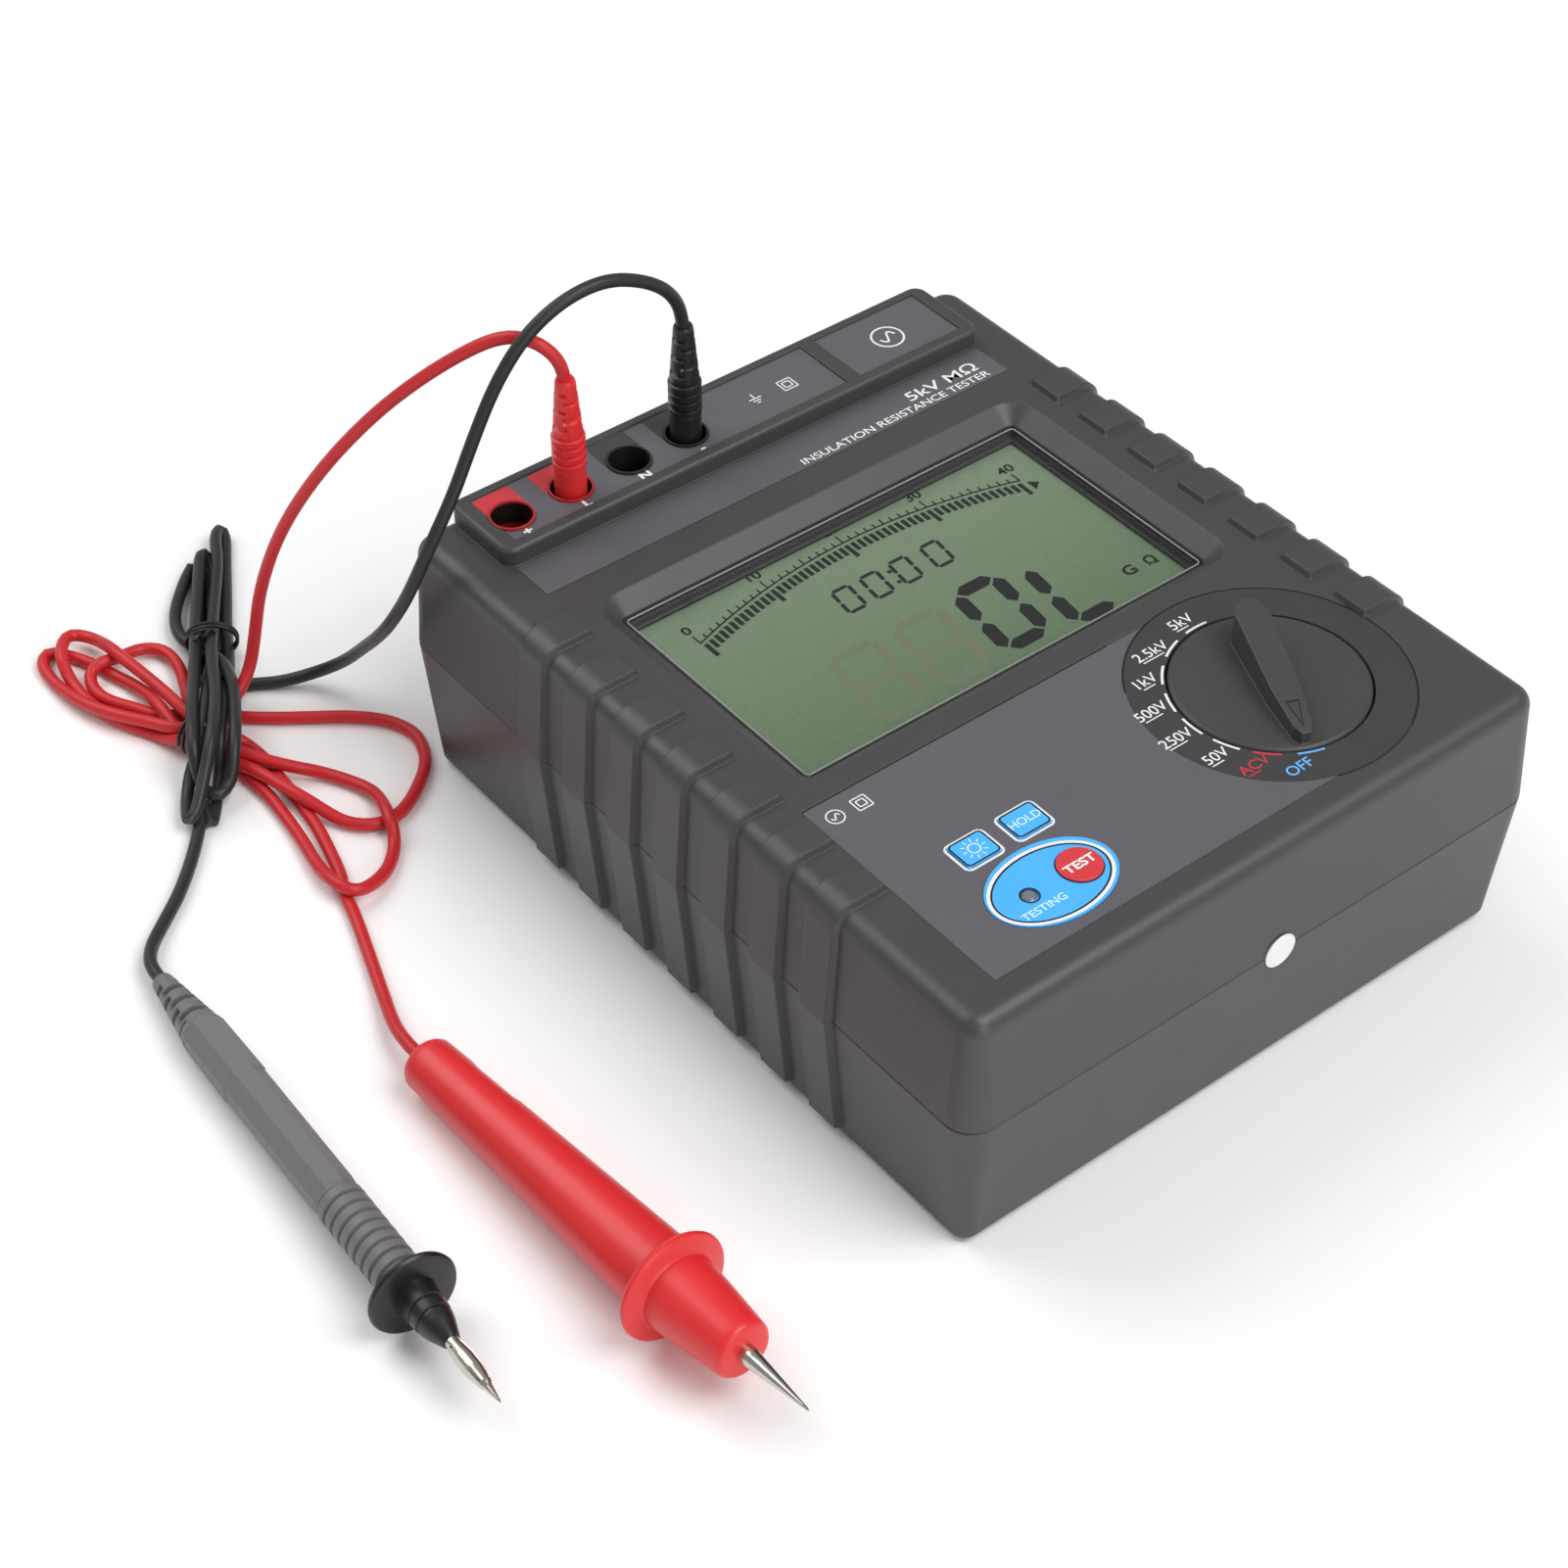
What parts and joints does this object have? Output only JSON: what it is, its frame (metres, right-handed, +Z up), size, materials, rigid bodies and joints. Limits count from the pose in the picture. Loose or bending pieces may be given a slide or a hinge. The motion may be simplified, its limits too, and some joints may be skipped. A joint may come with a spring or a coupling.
{
  "type": "insulation resistance tester",
  "caption": "Portable insulation resistance tester: ribbed dark case, large LCD, rotary range switch, round test button, socket bar and two test leads with probes.",
  "frame": {"origin": "under the middle of the instrument's case, on the surface its feet stand on", "axes": "+X to the right as the panel is read, +Y from the keys towards the socket bar, +Z up out of the panel"},
  "size_m": [0.3142, 0.3649, 0.1432],
  "materials": {
    "case_plastic": "fine textured",
    "steel": "nickel plated",
    "black_rubber": "moulded",
    "white_film": "printed film",
    "clear_lens": "polished acrylic",
    "lcd_glass": "polarised",
    "light_guide": "diffuse acrylic",
    "black_plastic": "moulded",
    "circuit_board": "solder mask",
    "grey_film": "printed polycarbonate",
    "blue_film": "printed polycarbonate",
    "dial_film": "printed polycarbonate",
    "knob_plastic": "moulded",
    "blue_plastic": "moulded",
    "red_plastic": "moulded",
    "brass": "nickel plated",
    "cell_steel": "wrapped",
    "lamp": "clear epoxy",
    "red_lead": "silicone jacket",
    "black_lead": "silicone jacket",
    "grey_plastic": "moulded"
  },
  "bodies": {
    "instrument": {"upper_case": "case_plastic", "lower_case": "case_plastic", "case_screws": "steel", "rubber_feet": "black_rubber", "battery_cover": "case_plastic", "battery_cover_screws": "steel", "round_sticker": "white_film", "lcd_window": "clear_lens", "lcd_glass": "lcd_glass", "lcd_backlight": "light_guide", "lcd_frame": "black_plastic", "lcd_connector_strips": "black_rubber", "display_board": "circuit_board", "control_panel_overlay": "grey_film", "test_bezel": "blue_film", "dial_plate": "dial_film", "title_strip": "grey_film", "jack_panel_label": "grey_film", "symbol_label": "grey_film", "rotary_switch_body": "black_plastic", "detent_spring": "steel", "key_switches": "black_plastic", "testing_led": "lamp", "red_jack_sleeves": "red_plastic", "black_jack_sleeves": "black_plastic", "jack_contacts": "brass", "main_board": "circuit_board", "board_spacers": "brass", "hv_transformer": "black_plastic", "hv_capacitors": "blue_plastic", "processor_chips": "black_plastic", "buzzer": "black_plastic", "board_connector": "black_plastic", "battery_holder": "black_plastic", "batteries": "cell_steel", "battery_contacts": "steel", "red_lead_upper": "red_lead", "red_lead_lower": "red_lead", "red_lead_hank": "red_lead", "red_lead_tie": "red_lead", "red_probe_handle": "red_plastic", "red_probe_needle": "steel", "black_lead_upper": "black_lead", "black_lead_lower": "black_lead", "black_lead_hank": "black_lead", "black_lead_tie": "black_lead", "grey_probe_handle": "grey_plastic", "black_probe_nose": "black_plastic", "probe_lantern_tip": "steel"},
    "range_knob": {"range_knob": "knob_plastic", "knob_shaft": "brass", "rotor_wiper": "circuit_board"},
    "light_button": {"light_button": "blue_plastic"},
    "hold_button": {"hold_button": "blue_plastic"},
    "test_button": {"test_button": "red_plastic"},
    "red_plug": {"red_plug_body": "red_plastic", "red_plug_pin": "brass"},
    "black_plug": {"black_plug_body": "black_plastic", "black_plug_pin": "brass"}
  },
  "joints": [
    {"name": "range_turn", "type": "hinge", "parent": "instrument", "child": "range_knob", "pos_m": [0.0426, -0.0686, 0.078], "axis": [0, 0, 1], "range_deg": [-157.5, 0]},
    {"name": "light_press", "type": "slide", "parent": "instrument", "child": "light_button", "axis": [0, 0, -1], "range_m": [0, 0.001], "stiffness_N_per_m": 1000, "springref_m": -0.0005},
    {"name": "hold_press", "type": "slide", "parent": "instrument", "child": "hold_button", "axis": [0, 0, -1], "range_m": [0, 0.001], "stiffness_N_per_m": 1000, "springref_m": -0.0005},
    {"name": "test_press", "type": "slide", "parent": "instrument", "child": "test_button", "axis": [0, 0, -1], "range_m": [0, 0.001], "stiffness_N_per_m": 1000, "springref_m": -0.0005},
    {"name": "red_plug_pull", "type": "slide", "parent": "instrument", "child": "red_plug", "axis": [0, 0, 1], "range_m": [0, 0.022], "deforming": ["red_lead_upper"]},
    {"name": "black_plug_pull", "type": "slide", "parent": "instrument", "child": "black_plug", "axis": [0, 0, 1], "range_m": [0, 0.022], "deforming": ["black_lead_upper"]}
  ]
}
